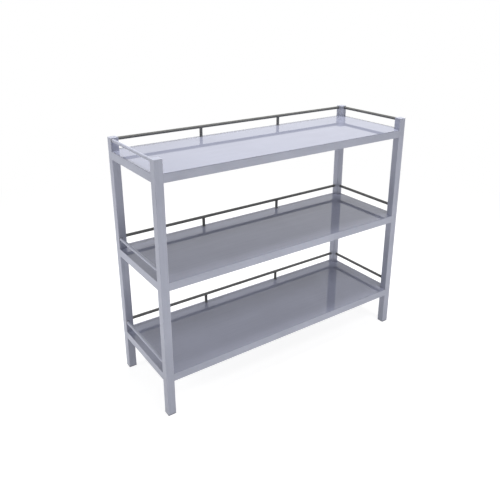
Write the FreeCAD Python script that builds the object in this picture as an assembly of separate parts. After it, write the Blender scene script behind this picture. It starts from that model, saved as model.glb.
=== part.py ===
import FreeCAD, Part
import os

# Driving dimensions of the shelving unit, in millimetres.
# X runs along the shelves, Y from front to back, Z up from the floor.
unit_width = 1200.0  # over the outer faces of the posts
unit_depth = 400.0  # over the outer faces of the posts
bottom_shelf_height = 180.0  # floor to the top of the bottom sheet
lower_bay_pitch = 380.0  # bottom sheet to middle sheet
upper_bay_pitch = 400.0  # middle sheet to top sheet
post_rise = 50.0  # top sheet to the top of the post caps

# Square tube that the posts and the shelf rails are cut from
tube_size = 32.0
tube_wall = 1.5
tube_corner_radius = 2.0

# Shelf sheets
sheet_thickness = 1.5
sheet_notch_clearance = 0.3  # between a corner notch and its post

# Cross bearers, hat sections under each sheet
bearer_width = 30.0
bearer_height = 20.0
bearer_flange = 14.0
bearer_wall = 1.5
bearer_bend_radius = 3.0
bearer_spacing = 400.0

# Guard rods round three sides of each shelf
rod_diameter = 12.7
rod_rise = 41.0  # sheet to the middle of the rod
rod_inset = 8.5  # outer face of the posts to the middle of the rod
spindle_spacing = 400.0

# Closed ends of the posts
cap_thickness = 2.0
foot_pad_height = 4.0
foot_plug_length = 25.0
foot_plug_clearance = 0.2  # between the plug and the tube's inner wall

# Sizes and places that follow from the driving dimensions
half_width = unit_width / 2
half_depth = unit_depth / 2
inner_half_width = half_width - tube_size
inner_half_depth = half_depth - tube_size
post_offset_x = half_width - tube_size / 2
post_offset_y = half_depth - tube_size / 2
rod_offset_x = half_width - rod_inset
rod_offset_y = half_depth - rod_inset
rod_radius = rod_diameter / 2
tube_bore = tube_size - 2 * tube_wall

middle_shelf_height = bottom_shelf_height + lower_bay_pitch
top_shelf_height = middle_shelf_height + upper_bay_pitch
unit_height = top_shelf_height + post_rise
cap_underside = unit_height - cap_thickness

shelf_heights = {
    "bottom": bottom_shelf_height,
    "middle": middle_shelf_height,
    "top": top_shelf_height,
}
sides = {"left": -1, "right": 1}
ends = {"front": -1, "back": 1}

along_x = FreeCAD.Vector(1, 0, 0)
along_y = FreeCAD.Vector(0, 1, 0)
along_z = FreeCAD.Vector(0, 0, 1)


def save(name, shape):
    shape.exportStep(f"parts/{name}.step")


def laid(shape, start, direction):
    # Puts a piece made upright at the origin on its start point, running along a direction.
    shape.Placement = FreeCAD.Placement(start, FreeCAD.Rotation(along_z, direction))
    return shape


def square_bar(size, corner_radius, length):
    # Upright square bar with rounded long edges, centred on the origin.
    bar = Part.makeBox(size, size, length, FreeCAD.Vector(-size / 2, -size / 2, 0))
    if corner_radius <= 0:
        return bar
    long_edges = [edge for edge in bar.Edges if edge.BoundBox.ZLength > length / 2]
    return bar.makeFillet(corner_radius, long_edges)


def square_tube(length):
    outside = square_bar(tube_size, tube_corner_radius, length)
    inside = square_bar(tube_bore, tube_corner_radius - tube_wall, length)
    return outside.cut(inside)


def post(x, y):
    tube = square_tube(cap_underside - foot_pad_height)
    return laid(tube, FreeCAD.Vector(x, y, foot_pad_height), along_z)


def post_cap(x, y):
    plate = square_bar(tube_size, tube_corner_radius, cap_thickness)
    return laid(plate, FreeCAD.Vector(x, y, cap_underside), along_z)


def foot(x, y):
    # A pad as wide as the tube, with a plug that fills the tube's lower end.
    pad = square_bar(tube_size, tube_corner_radius, foot_pad_height)
    plug_size = tube_bore - 2 * foot_plug_clearance
    plug = square_bar(plug_size, tube_corner_radius - tube_wall, foot_pad_height + foot_plug_length)
    return laid(pad.fuse(plug).removeSplitter(), FreeCAD.Vector(x, y, 0), along_z)


def rail(start, direction, length):
    return laid(square_tube(length), start, direction)


def shelf_sheet(height):
    # Flat sheet over the rails, with a square notch at each corner for the post.
    low_face = height - sheet_thickness
    sheet = Part.makeBox(
        unit_width,
        unit_depth,
        sheet_thickness,
        FreeCAD.Vector(-half_width, -half_depth, low_face),
    )
    notch = tube_size + sheet_notch_clearance
    for side in sides.values():
        for end in ends.values():
            corner = FreeCAD.Vector(
                side * (half_width - notch / 2) - notch / 2,
                end * (half_depth - notch / 2) - notch / 2,
                low_face,
            )
            sheet = sheet.cut(Part.makeBox(notch, notch, sheet_thickness, corner))
    return sheet


def channel_block(width, depth, bend_radius):
    # Solid block that hangs below the origin, front to back, with its two lower long edges rounded.
    length = 2 * inner_half_depth
    block = Part.makeBox(width, length, depth, FreeCAD.Vector(-width / 2, -inner_half_depth, -depth))
    if bend_radius <= 0:
        return block
    lower_edges = [
        edge
        for edge in block.Edges
        if edge.BoundBox.YLength > length / 2 and edge.CenterOfMass.z < -depth / 2
    ]
    return block.makeFillet(bend_radius, lower_edges)


def bearer(x, height):
    # Hat section: a channel that is open at the top, with a flange each side against the sheet.
    outside = channel_block(bearer_width, bearer_height, bearer_bend_radius)
    inside = channel_block(
        bearer_width - 2 * bearer_wall,
        bearer_height - bearer_wall,
        bearer_bend_radius - bearer_wall,
    )
    flanges = Part.makeBox(
        bearer_width + 2 * bearer_flange,
        2 * inner_half_depth,
        bearer_wall,
        FreeCAD.Vector(-bearer_width / 2 - bearer_flange, -inner_half_depth, -bearer_wall),
    )
    hat = outside.fuse(flanges).cut(inside).removeSplitter()
    hat.translate(FreeCAD.Vector(x, 0, height - sheet_thickness))
    return hat


def guard_rod(start, direction, length):
    return Part.makeCylinder(rod_radius, length, start, direction)


def spindle(x, height, back_rod):
    # Short upright piece of rod, coped to the underside of the back rod.
    foot_point = FreeCAD.Vector(x, rod_offset_y, height)
    upright = Part.makeCylinder(rod_radius, rod_rise, foot_point, along_z)
    return upright.cut(back_rod)


def make_posts():
    for end_name, end in ends.items():
        for side_name, side in sides.items():
            x = side * post_offset_x
            y = end * post_offset_y
            save(f"{end_name}_{side_name}_post", post(x, y))
            save(f"{end_name}_{side_name}_post_cap", post_cap(x, y))
            save(f"{end_name}_{side_name}_foot", foot(x, y))


def make_shelf(name, height):
    rail_middle = height - sheet_thickness - tube_size / 2
    rod_middle = height + rod_rise
    save(f"{name}_shelf_sheet", shelf_sheet(height))

    for end_name, end in ends.items():
        start = FreeCAD.Vector(-inner_half_width, end * post_offset_y, rail_middle)
        save(f"{name}_{end_name}_rail", rail(start, along_x, 2 * inner_half_width))

    for side_name, side in sides.items():
        start = FreeCAD.Vector(side * post_offset_x, -inner_half_depth, rail_middle)
        save(f"{name}_{side_name}_rail", rail(start, along_y, 2 * inner_half_depth))

        rod_start = FreeCAD.Vector(side * rod_offset_x, -inner_half_depth, rod_middle)
        save(f"{name}_{side_name}_guard_rod", guard_rod(rod_start, along_y, 2 * inner_half_depth))

        save(f"{name}_{side_name}_bearer", bearer(side * bearer_spacing / 2, height))

    back_rod_start = FreeCAD.Vector(-inner_half_width, rod_offset_y, rod_middle)
    back_rod = guard_rod(back_rod_start, along_x, 2 * inner_half_width)
    save(f"{name}_back_guard_rod", back_rod)
    for side_name, side in sides.items():
        save(f"{name}_{side_name}_spindle", spindle(side * spindle_spacing / 2, height, back_rod))


os.makedirs("parts", exist_ok=True)
make_posts()
for shelf_name, shelf_height in shelf_heights.items():
    make_shelf(shelf_name, shelf_height)
print(f"shelving unit {unit_width:.0f} x {unit_depth:.0f} x {unit_height:.0f} mm")
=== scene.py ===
import math

import bmesh
import bpy
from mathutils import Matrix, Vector


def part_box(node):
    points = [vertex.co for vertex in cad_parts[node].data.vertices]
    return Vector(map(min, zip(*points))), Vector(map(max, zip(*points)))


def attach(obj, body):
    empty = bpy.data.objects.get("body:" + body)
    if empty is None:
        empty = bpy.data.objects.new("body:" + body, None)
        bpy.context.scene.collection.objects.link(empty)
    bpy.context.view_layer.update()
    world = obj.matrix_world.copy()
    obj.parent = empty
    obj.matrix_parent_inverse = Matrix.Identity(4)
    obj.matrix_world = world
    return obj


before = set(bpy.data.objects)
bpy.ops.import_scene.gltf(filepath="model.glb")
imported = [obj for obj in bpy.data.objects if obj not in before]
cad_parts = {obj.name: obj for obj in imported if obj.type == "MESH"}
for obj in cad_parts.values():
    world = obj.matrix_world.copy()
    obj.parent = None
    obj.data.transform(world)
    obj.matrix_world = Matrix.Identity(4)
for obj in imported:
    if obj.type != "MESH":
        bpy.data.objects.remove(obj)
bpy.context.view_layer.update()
mm = 0.001
shelfNames = ("bottom", "middle", "top")
print("frame loaded:", len(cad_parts), "nodes")


def linear(hexColour):
    # sRGB hex to the linear values that the shaders take
    channels = [int(hexColour[i:i + 2], 16) / 255 for i in (1, 3, 5)]
    return tuple(c / 12.92 if c <= 0.04045 else ((c + 0.055) / 1.055) ** 2.4 for c in channels) + (1.0,)


def addNode(tree, kind, inputs=None, **settings):
    # an input is a plain value, another node (its first output is linked) or one of its output sockets
    node = tree.nodes.new(kind)
    for name, value in settings.items():
        setattr(node, name, value)
    for name, value in (inputs or {}).items():
        if isinstance(value, bpy.types.Node):
            tree.links.new(value.outputs[0], node.inputs[name])
        elif isinstance(value, bpy.types.NodeSocket):
            tree.links.new(value, node.inputs[name])
        else:
            node.inputs[name].default_value = value
    return node


def startMaterial(name):
    material = bpy.data.materials.new(name)
    material.use_nodes = True
    material.node_tree.nodes.clear()
    return material, material.node_tree


# Noise that the finishes share
noise = {
    "detail": 3.0,
    "lineBreak": 0.6,  # how broken the lines are
    "patchBreak": 0.55,
    "usual": (0.3, 0.7),  # where nearly all values of one noise fall
    "usualSum": (0.75, 1.25),  # and those of lines and patches added up
}


def brushLines(tree, look, alongAxis):
    # noise drawn out along one axis of the frame, as a belt, a pad or a drawing die leaves it
    cell = [look["lineAcross"] * mm] * 3
    cell["xyz".index(alongAxis)] = look["lineAlong"] * mm
    place = addNode(tree, "ShaderNodeTexCoord")
    drawnOut = addNode(tree, "ShaderNodeVectorMath", {
        0: place.outputs["Object"],
        1: [1 / size for size in cell],
    }, operation="MULTIPLY")
    return addNode(tree, "ShaderNodeTexNoise", {
        "Vector": drawnOut,
        "Scale": 1.0,
        "Detail": noise["detail"],
        "Roughness": noise["lineBreak"],
    })


def slowPatches(tree, look):
    # slow change over the surface, from rolling, handling and wiping
    place = addNode(tree, "ShaderNodeTexCoord")
    return addNode(tree, "ShaderNodeTexNoise", {
        "Vector": place.outputs["Object"],
        "Scale": 1 / (look["patch"] * mm),
        "Detail": noise["detail"],
        "Roughness": noise["patchBreak"],
    })


def lineRoughness(tree, look, lines):
    # smoother and rougher lines between the two ends of the finish's roughness, or one number all over
    smooth, rough = look["roughness"]
    if smooth == rough:
        return rough
    return addNode(tree, "ShaderNodeMapRange", {
        "Value": lines,
        "From Min": noise["usual"][0],
        "From Max": noise["usual"][1],
        "To Min": smooth,
        "To Max": rough,
    })


def finishSteel(name, look, alongAxis, extraSockets=None):
    # lines and patches together shade the colour, the lines set the roughness and a shallow bump
    material, tree = startMaterial(name)
    lines = brushLines(tree, look, alongAxis)
    both = addNode(tree, "ShaderNodeMath", {0: lines, 1: slowPatches(tree, look)}, operation="ADD")
    tone = addNode(tree, "ShaderNodeMapRange", {
        "Value": both,
        "From Min": noise["usualSum"][0],
        "From Max": noise["usualSum"][1],
    })
    colour = addNode(tree, "ShaderNodeMix", {  # inputs 6 and 7 and output 2 are the colours
        0: tone,
        6: linear(look["deep"]),
        7: linear(look["pale"]),
    }, data_type="RGBA")
    bump = addNode(tree, "ShaderNodeBump", {
        "Height": lines,
        "Strength": 1.0,
        "Distance": look["bumpHeight"] * mm,
    })
    shader = addNode(tree, "ShaderNodeBsdfPrincipled", {
        "Base Color": colour.outputs[2],
        "Metallic": look["metallic"],
        "Roughness": lineRoughness(tree, look, lines),
        "Normal": bump,
        **(extraSockets or {}),
    })
    addNode(tree, "ShaderNodeOutputMaterial", {"Surface": shader})
    return material


# Square tube of 304 stainless steel, ground over a 240 grit belt along its length.
# The eye gets a soft pale blue-grey with no mirror image in it, and faint lines that run with the tube.
satinTube = {
    "pale": "#b7bac9",
    "deep": "#abaebd",
    "metallic": 0.25,
    "roughness": (0.36, 0.46),
    "lineAcross": 2.2,  # mm, coarser than the 0.1 mm of a real belt line, so that it shows
    "lineAlong": 180.0,
    "patch": 160.0,
    "bumpHeight": 0.012,
}
tubeAlong = {axis: finishSteel(f"beltGroundStainlessTube_{axis}", satinTube, axis) for axis in "xyz"}

# Cold-rolled 304 sheet, brushed lengthways and coated with a clear anti-fingerprint lacquer.
# The lacquer mirrors posts and rods sharply at a low angle, over a quiet matt grey with long lines.
lacqueredSheet = {
    "pale": "#9da0b3",
    "deep": "#9598aa",
    "metallic": 0.15,
    "roughness": (0.485, 0.485),  # one number, because under lacquer the export bakes a varied one too smooth
    "lineAcross": 3.0,  # mm, coarser than the 0.05 mm of a real brush line, so that it shows
    "lineAlong": 420.0,
    "patch": 240.0,
    "bumpHeight": 0.01,
    "lacquer": 1.0,
    "lacquerRoughness": 0.03,
}
sheetSteel = finishSteel("lacqueredBrushedStainlessSheet", lacqueredSheet, "x", {
    "Specular IOR Level": 0.0,  # the lacquer is the only gloss over the steel
    "Coat Weight": lacqueredSheet["lacquer"],
    "Coat Roughness": lacqueredSheet["lacquerRoughness"],
})

# Round stainless bar, cold drawn through a die.
# The eye gets a dark neutral grey, a little lighter on top, with hair-fine draw lines.
# The dark grey is painted shade: the steel is bright, and this colour stands in for the dark it mirrors and
# the shade inside the frame.
drawnBar = {
    "pale": "#70706e",
    "deep": "#646463",
    "metallic": 0.35,
    "roughness": (0.3, 0.4),
    "lineAcross": 1.2,  # mm, coarser than a real draw line, so that it shows
    "lineAlong": 90.0,
    "patch": 60.0,
    "bumpHeight": 0.008,
}
barAlong = {axis: finishSteel(f"drawnStainlessBarPaintedShade_{axis}", drawnBar, axis) for axis in "xyz"}

# Folded sheet as it comes from the rolling mill, under the shelves.
# The eye gets a flat, slightly mottled grey with rolling marks and no polish.
millChannel = {
    "pale": "#a3a5ab",
    "deep": "#8f9198",
    "metallic": 0.5,
    "roughness": (0.42, 0.56),
    "lineAcross": 5.0,  # mm, coarser than a real rolling mark, so that it shows
    "lineAlong": 120.0,
    "patch": 45.0,
    "bumpHeight": 0.01,
}
channelSteel = finishSteel("millFinishStainlessChannel", millChannel, "y")

# Bead of a TIG weld, pickled clean.
# The eye gets a dull grey with a trace of straw and blue left by the heat.
tigBead = {
    "pale": "#8d8a84",
    "deep": "#6f7178",
    "metallic": 0.8,
    "roughness": (0.35, 0.5),
    "lineAcross": 1.0,  # mm, in no one direction
    "lineAlong": 1.0,
    "patch": 6.0,
    "bumpHeight": 0.03,
}
beadSteel = finishSteel("pickledTigWeldBead", tigBead, "x")

# Weld metal in the frame's outer corners, ground flush and gone over with an orbital pad.
# The eye gets the tube's own grey with short marks in no one direction, where a bare seam would be dark.
groundWeld = {
    "pale": "#b3b6c4",
    "deep": "#a3a6b4",
    "metallic": 0.3,
    "roughness": (0.4, 0.52),
    "lineAcross": 1.2,  # mm, coarser than a real pad mark, so that it shows
    "lineAlong": 1.2,
    "patch": 8.0,
    "bumpHeight": 0.02,
}
groundSteel = finishSteel("groundFlushWeldMetal", groundWeld, "x")

# Moulded nylon 6, grey, with the fine spark-eroded grain of its mould.
# The eye gets a dull plastic close to the colour of the tube above it, scuffed where it meets the floor.
mouldedNylon = {
    "pale": "#a9abb5",
    "deep": "#9a9ca6",
    "scuffed": "#83848a",
    "scuffHeight": 2.5,  # mm above the floor
    "scuffShare": 0.8,  # at the floor
    "roughness": (0.45, 0.6),
    "ior": 1.53,
    "grain": 0.7,  # mm
    "grainDetail": 2.0,
    "patch": 12.0,
    "bumpHeight": 0.05,
}


def finishNylon(look):
    material, tree = startMaterial("mouldedGreyNylon")
    place = addNode(tree, "ShaderNodeTexCoord").outputs["Object"]
    grain = addNode(tree, "ShaderNodeTexNoise", {
        "Vector": place,
        "Scale": 1 / (look["grain"] * mm),
        "Detail": look["grainDetail"],
    })
    tone = addNode(tree, "ShaderNodeMapRange", {
        "Value": slowPatches(tree, look),
        "From Min": noise["usual"][0],
        "From Max": noise["usual"][1],
    })
    clean = addNode(tree, "ShaderNodeMix", {
        0: tone,
        6: linear(look["deep"]),
        7: linear(look["pale"]),
    }, data_type="RGBA")
    height = addNode(tree, "ShaderNodeSeparateXYZ", {0: place}).outputs["Z"]
    scuff = addNode(tree, "ShaderNodeMapRange", {
        "Value": height,
        "From Max": look["scuffHeight"] * mm,
        "To Min": look["scuffShare"],
        "To Max": 0.0,
    })
    colour = addNode(tree, "ShaderNodeMix", {
        0: scuff,
        6: clean.outputs[2],
        7: linear(look["scuffed"]),
    }, data_type="RGBA")
    roughness = addNode(tree, "ShaderNodeMapRange", {
        "Value": grain,
        "From Min": noise["usual"][0],
        "From Max": noise["usual"][1],
        "To Min": look["roughness"][0],
        "To Max": look["roughness"][1],
    })
    bump = addNode(tree, "ShaderNodeBump", {"Height": grain, "Distance": look["bumpHeight"] * mm})
    shader = addNode(tree, "ShaderNodeBsdfPrincipled", {
        "Base Color": colour.outputs[2],
        "Roughness": roughness,
        "Normal": bump,
        "IOR": look["ior"],
    })
    addNode(tree, "ShaderNodeOutputMaterial", {"Surface": shader})
    return material


finishByEnding = {
    "_post": tubeAlong["z"],
    "_post_cap": tubeAlong["x"],
    "_front_rail": tubeAlong["x"],
    "_back_rail": tubeAlong["x"],
    "_left_rail": tubeAlong["y"],
    "_right_rail": tubeAlong["y"],
    "_shelf_sheet": sheetSteel,
    # the back and right bars and the spindles carry the bar's dark grey, which is painted shade
    "_back_guard_rod": barAlong["x"],
    "_left_guard_rod": tubeAlong["y"],  # painted light: the left bars take the pale tube finish, standing in for light from the left on the same steel
    "_right_guard_rod": barAlong["y"],
    "_spindle": barAlong["z"],
    "_bearer": channelSteel,
    "_foot": finishNylon(mouldedNylon),
}
for name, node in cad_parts.items():
    ending = next(ending for ending in finishByEnding if name.endswith(ending))
    node.data.materials.clear()
    node.data.materials.append(finishByEnding[ending])
print("finishes given to", len(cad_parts), "nodes")

# Beads of weld metal where the bars meet posts, sheets and each other
rodBead = {
    "leg": 1.4,  # mm that a bead stands off each of the two pieces it joins
    "ripple": 0.16,  # share of the leg
    "ripplePitch": 1.6,  # mm between ripples
    "wander": 0.1,  # slow change along the bead, as a share of the leg
    "wanderWaves": 2,
    "wanderPhase": (90, 70),  # radians for each metre of x and z, so that no two beads are alike
    "endPower": 6,  # rounds the ends of an open bead
    "endLeast": 0.04,
    "saddleEase": 0.03,  # rounds the two tips of the bead on a coped joint
    "step": 0.45,  # mm between rings of the mesh
    "sides": 12,
}


def joinRings(mesh, rings, closed):
    count = len(rings)
    sides = len(rings[0])
    for index in range(count if closed else count - 1):
        here = rings[index]
        there = rings[(index + 1) % count]
        for side in range(sides):
            after = (side + 1) % sides
            mesh.faces.new((here[side], here[after], there[after], there[side]))
    if not closed:
        mesh.faces.new(rings[0])
        mesh.faces.new(rings[-1])


def layBead(mesh, bead, path, closed):
    # path holds (root of the weld, direction off one piece, direction off the other) for each ring
    count = len(path)
    phaseX, phaseZ = bead["wanderPhase"]
    rings = []
    travelled = 0.0
    for index, (root, offOne, offTwo) in enumerate(path):
        if index:
            travelled += (root - path[index - 1][0]).length
        ripple = abs(math.sin(math.pi * travelled / (bead["ripplePitch"] * mm)))
        wave = 2 * math.pi * bead["wanderWaves"] * index / count
        leg = 1 - bead["ripple"] / 2 + bead["ripple"] * ripple
        leg += bead["wander"] * math.sin(wave + root.x * phaseX + root.z * phaseZ)
        if not closed:
            fromMiddle = 2 * index / (count - 1) - 1
            leg *= math.sqrt(max(1 - fromMiddle ** bead["endPower"], bead["endLeast"]))
        leg *= bead["leg"] * mm
        ring = []
        for side in range(bead["sides"]):
            angle = 2 * math.pi * side / bead["sides"]
            ring.append(mesh.verts.new(root + leg * (math.cos(angle) * offOne + math.sin(angle) * offTwo)))
        rings.append(ring)
    joinRings(mesh, rings, closed)


def ringBead(mesh, bead, middle, along, radius, saddle=False):
    # round a bar that ends on a flat face, or round a spindle that is coped to the bar above it
    across = along.orthogonal().normalized() if not saddle else Vector((1, 0, 0))
    other = along.cross(across)
    count = round(2 * math.pi * radius / (bead["step"] * mm))
    path = []
    for index in range(count):
        angle = 2 * math.pi * index / count
        out = math.cos(angle) * across + math.sin(angle) * other
        root = middle + radius * out
        if saddle:
            root = root + along * radius * math.sqrt(math.cos(angle) ** 2 + bead["saddleEase"])
        path.append((root, out, along))
    layBead(mesh, bead, path, True)


def stitchBead(mesh, bead, start, end, offOne, offTwo):
    count = round((end - start).length / (bead["step"] * mm))
    path = [(start.lerp(end, index / count), offOne, offTwo) for index in range(count + 1)]
    layBead(mesh, bead, path, False)


def finishPiece(mesh, name, material, rounded=True):
    bmesh.ops.recalc_face_normals(mesh, faces=mesh.faces)
    data = bpy.data.meshes.new(name)
    mesh.to_mesh(data)
    mesh.free()
    data.polygons.foreach_set("use_smooth", [rounded] * len(data.polygons))
    data.materials.append(material)
    piece = bpy.data.objects.new(name, data)
    bpy.context.scene.collection.objects.link(piece)
    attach(piece, "root")


def cornersOf(node):
    low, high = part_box(node)
    return Vector(low), Vector(high)


def middleOf(node):
    low, high = cornersOf(node)
    return (low + high) / 2, (high - low) / 2


def weldRods(shelf):
    beads = bmesh.new()
    for rod, axis in (("back", 0), ("left", 1), ("right", 1)):
        middle, half = middleOf(f"{shelf}_{rod}_guard_rod")
        for way in (-1, 1):
            end = middle.copy()
            end[axis] += way * half[axis]
            along = Vector((0, 0, 0))
            along[axis] = -way
            ringBead(beads, rodBead, end, along, half.z)
    backRod = middleOf(f"{shelf}_back_guard_rod")[0]
    for side in ("left", "right"):
        middle, half = middleOf(f"{shelf}_{side}_spindle")
        ringBead(beads, rodBead, middle - Vector((0, 0, half.z)), Vector((0, 0, 1)), half.x)
        crown = Vector((middle.x, middle.y, backRod.z))
        ringBead(beads, rodBead, crown, Vector((0, 0, -1)), half.x, saddle=True)
    finishPiece(beads, f"{shelf}_rod_welds", beadSteel)


# Short upright beads where the walls of the bearers meet the rails
bearerStitch = {
    "length": 13.0,  # mm
    "lowEnd": 17.0,  # mm below the shelf sheet
    "flange": 14.0,  # mm from the edge of a bearer to its wall
}


def weldBearers(shelf):
    stitches = bmesh.new()
    flange = bearerStitch["flange"] * mm
    for side in ("left", "right"):
        low, high = cornersOf(f"{shelf}_{side}_bearer")
        for wallX, offX in ((low.x + flange, -1), (high.x - flange, 1)):
            for endY, offY in ((low.y, 1), (high.y, -1)):
                start = Vector((wallX, endY, high.z - bearerStitch["lowEnd"] * mm))
                end = start + Vector((0, 0, bearerStitch["length"] * mm))
                stitchBead(stitches, rodBead, start, end, Vector((offX, 0, 0)), Vector((0, offY, 0)))
    finishPiece(stitches, f"{shelf}_bearer_welds", beadSteel)


for shelf in shelfNames:
    weldRods(shelf)
    weldBearers(shelf)
print("rods and bearers welded on", len(shelfNames), "shelves")

# Weld metal that fills the groove between a rail's end and the rounded corner of its post, ground flush
flushWeld = {
    "cornerRadius": 2.0,  # mm, of the tube
    "sunk": 0.03,  # mm below the faces that it was ground with
    "overlap": 0.1,  # mm into the tubes
    "deepest": 0.9,  # share of the corner radius, at the ends
    "arcSteps": 5,
    "endSteps": 6,  # over the rounded edges of the rail
}


def layFlushWeld(mesh, corner, intoPost, inward, low, high):
    radius = flushWeld["cornerRadius"] * mm
    overlap = flushWeld["overlap"] * mm
    reach = radius - overlap
    turns = [math.pi / 2 * step / flushWeld["endSteps"] for step in range(flushWeld["endSteps"] + 1)]
    rises = [radius * (1 - math.cos(turn)) for turn in turns]
    heights = [low + rise for rise in rises] + [high - rise for rise in reversed(rises)]
    rings = []
    for height in heights:
        fromEdge = min(height - low, high - height, radius)
        depth = flushWeld["sunk"] * mm + radius - math.sqrt(radius ** 2 - (radius - fromEdge) ** 2)
        depth = min(depth, flushWeld["deepest"] * radius)
        firstAngle = math.acos(1 - depth / radius)
        section = [(-overlap, depth), (radius - radius * math.sin(firstAngle), depth)]
        for step in range(flushWeld["arcSteps"] + 1):
            angle = firstAngle + (math.pi / 2 - firstAngle) * step / flushWeld["arcSteps"]
            section.append((radius - reach * math.sin(angle), radius - reach * math.cos(angle)))
        section.append((-overlap, radius))
        ring = []
        for along, deep in section:
            point = corner + along * intoPost + deep * inward
            ring.append(mesh.verts.new((point.x, point.y, height)))
        rings.append(ring)
    joinRings(mesh, rings, False)


# Fillets below the rails and in the corners between them, and stitches from the rails to the sheet above
frameBead = {
    **rodBead,
    "leg": 1.25,  # mm, less than the thickness of the sheet and of the tube's wall
    "ripplePitch": 2.4,
    "step": 0.8,
    "sides": 8,
    "endGap": 3.5,  # mm from the edge of the tube to the end of a fillet
    "stitch": 20.0,
    "stitchDrop": 0.4,  # mm below the sheet
    "stitchesAlong": ((-480, -320, -80, 80, 320, 480), (-80, 80)),  # mm from the middle, by the rail's axis
}


def weldFrame(shelf):
    flush = bmesh.new()
    fillets = bmesh.new()
    down = Vector((0, 0, -1))
    gap = frameBead["endGap"] * mm
    for rail, axis, outSign in (("front", 0, -1), ("back", 0, 1), ("left", 1, -1), ("right", 1, 1)):
        low, high = cornersOf(f"{shelf}_{rail}_rail")
        across = 1 - axis
        inward = Vector((0, 0, 0))
        inward[across] = -outSign
        outerFace = low[across] if outSign < 0 else high[across]
        innerFace = high[across] if outSign < 0 else low[across]
        for way in (-1, 1):
            intoPost = Vector((0, 0, 0))
            intoPost[axis] = way
            corner = Vector((0, 0, low.z))
            corner[axis] = low[axis] if way < 0 else high[axis]
            corner[across] = outerFace
            layFlushWeld(flush, corner, intoPost, inward, low.z, high.z)
            innerCorner = corner.copy()
            innerCorner[across] = innerFace
            stitchBead(fillets, frameBead, corner + gap * inward, innerCorner - gap * inward, -intoPost, down)
            if axis == 0:  # the side rails share this corner
                lower = innerCorner - gap * down
                upper = Vector((lower.x, lower.y, high.z - gap))
                stitchBead(fillets, frameBead, lower, upper, -intoPost, inward)
        for place in frameBead["stitchesAlong"][axis]:
            start = Vector((0, 0, high.z - frameBead["stitchDrop"] * mm))
            start[across] = innerFace
            start[axis] = (place - frameBead["stitch"] / 2) * mm
            end = start.copy()
            end[axis] += frameBead["stitch"] * mm
            stitchBead(fillets, frameBead, start, end, inward, down)
    finishPiece(flush, f"{shelf}_flush_welds", groundSteel, rounded=False)
    finishPiece(fillets, f"{shelf}_frame_welds", beadSteel)


for shelf in shelfNames:
    weldFrame(shelf)
print("frames welded on", len(shelfNames), "shelves")

stage = {
    "floorReach": 40.0,  # m
    "floorGap": 0.3,  # mm below the feet, so that floor and feet never share a plane
    "floorTone": 0.45,  # what lamps find
    "whiteGlow": 0.86,  # what the eye and the metal see of the floor in deep shadow
    "shadowShare": 0.32,  # and what light adds to it
    "fadeFrom": 0.9,  # m from the middle, where the floor starts to turn plain white
    "fadeTo": 3.0,
    "roomLevel": 0.03,  # what the room itself adds to the lamps
    "white": (1, 1, 1, 1),
}


def seenRays(tree):
    # 1 for what the camera sees and what metal or lacquer mirrors, 0 for light on the object
    path = addNode(tree, "ShaderNodeLightPath")
    seen = addNode(tree, "ShaderNodeMath", {
        0: path.outputs["Is Camera Ray"],
        1: path.outputs["Is Glossy Ray"],
    }, operation="ADD")
    return addNode(tree, "ShaderNodeMath", {
        0: seen,
        1: path.outputs["Is Transmission Ray"],
    }, operation="ADD", use_clamp=True)


def makeFloor():
    bpy.ops.mesh.primitive_plane_add(size=2 * stage["floorReach"], location=(0, 0, -stage["floorGap"] * mm))
    floor = bpy.context.object
    floor.name = "studioFloor"
    material, tree = startMaterial("paleStudioFloor")
    seen = seenRays(tree)
    place = addNode(tree, "ShaderNodeTexCoord")
    distance = addNode(tree, "ShaderNodeVectorMath", {0: place.outputs["Object"]}, operation="LENGTH")
    fade = addNode(tree, "ShaderNodeMapRange", {
        "Value": distance.outputs["Value"],
        "From Min": stage["fadeFrom"],
        "From Max": stage["fadeTo"],
    }, interpolation_type="SMOOTHSTEP")
    white = addNode(tree, "ShaderNodeMapRange", {
        "Value": fade,
        "To Min": stage["whiteGlow"],
        "To Max": 1.0,
    })
    glow = addNode(tree, "ShaderNodeMath", {0: seen, 1: white}, operation="MULTIPLY")
    shadow = addNode(tree, "ShaderNodeMapRange", {
        "Value": fade,
        "To Min": stage["shadowShare"],
        "To Max": 0.0,
    })
    tone = addNode(tree, "ShaderNodeMapRange", {
        "Value": seen,
        "To Min": stage["floorTone"],
        "To Max": shadow,
    })
    matt = addNode(tree, "ShaderNodeBsdfDiffuse", {"Color": tone})
    lit = addNode(tree, "ShaderNodeEmission", {"Color": stage["white"], "Strength": glow})
    both = addNode(tree, "ShaderNodeAddShader", {0: matt, 1: lit})
    addNode(tree, "ShaderNodeOutputMaterial", {"Surface": both})
    floor.data.materials.append(material)


def makeRoom():
    world = bpy.data.worlds.new("studioRoom")
    bpy.context.scene.world = world
    world.use_nodes = True
    tree = world.node_tree
    tree.nodes.clear()
    strength = addNode(tree, "ShaderNodeMapRange", {
        "Value": seenRays(tree),
        "To Min": stage["roomLevel"],
        "To Max": 1.0,
    })
    light = addNode(tree, "ShaderNodeBackground", {"Color": stage["white"], "Strength": strength})
    addNode(tree, "ShaderNodeOutputWorld", {"Surface": light})


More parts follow.
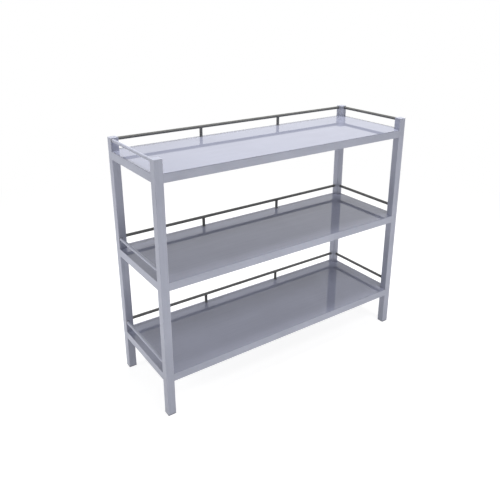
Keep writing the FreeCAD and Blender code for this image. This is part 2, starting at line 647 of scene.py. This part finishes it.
# Places, aims and sizes in metres, power in watts
softboxes = {
    "overheadSoftbox": {
        "place": (0.3, 0.15, 3.6),
        "aim": (0, 0, 0.9),
        "size": (2.0, 0.6),
        "power": 112,
    },
    "highFrontSoftbox": {
        "place": (-0.1, -2.0, 3.2),
        "aim": (-0.1, -0.2, 0.5),
        "size": (2.4, 0.8),
        "power": 28,
    },
    "lowFrontSoftbox": {
        "place": (0.0, -1.0, 0.58),
        "aim": (0, -0.2, 0.58),
        "size": (1.8, 0.72),
        "power": 4.4,
    },
    "leftSoftbox": {
        "place": (-1.6, 0.2, 0.72),
        "aim": (-0.6, 0, 0.66),
        "size": (0.8, 0.9),
        "power": 7.6,
    },
    "rightSoftbox": {
        "place": (2.4, 0.5, 1.2),
        "aim": (0.6, 0, 0.5),
        "size": (1.0, 1.0),
        "power": 8,
    },
    "backSoftbox": {
        "place": (0.5, 2.6, 1.3),
        "aim": (0, 0.2, 0.5),
        "size": (2.0, 1.0),
        "power": 15,
    },
}


def makeSoftboxes():
    for name, box in softboxes.items():
        data = bpy.data.lights.new(name, "AREA")
        data.shape = "RECTANGLE"
        data.size, data.size_y = box["size"]
        data.energy = box["power"]
        lamp = bpy.data.objects.new(name, data)
        lamp.location = box["place"]
        aim = Vector(box["aim"]) - Vector(box["place"])
        lamp.rotation_euler = aim.to_track_quat("-Z", "Y").to_euler()
        lamp.visible_camera = False
        lamp.visible_glossy = False  # the lacquer mirrors the white room, not the lamps
        bpy.context.scene.collection.objects.link(lamp)


viewpoint = {
    "eye": (-1333.6, -1804.1, 1494.2),  # mm
    "yaw": 34.73,  # degrees from +Y towards +X
    "pitch": -19.68,
    "lens": 40.38,  # mm
    "sensor": 36.0,  # mm wide
    "shift": (-0.001, -0.099),
    "farClip": 200.0,  # m
}


def makeCamera():
    data = bpy.data.cameras.new("photoCamera")
    data.sensor_width = viewpoint["sensor"]
    data.lens = viewpoint["lens"]
    data.shift_x, data.shift_y = viewpoint["shift"]
    data.clip_end = viewpoint["farClip"]
    camera = bpy.data.objects.new("photoCamera", data)
    camera.location = Vector(viewpoint["eye"]) * mm
    camera.rotation_euler = (math.radians(90 + viewpoint["pitch"]), 0, math.radians(-viewpoint["yaw"]))
    bpy.context.scene.collection.objects.link(camera)
    bpy.context.scene.camera = camera


makeFloor()
makeRoom()
makeSoftboxes()
makeCamera()
bpy.context.scene.view_settings.view_transform = "Standard"
print("stage, light and camera set")
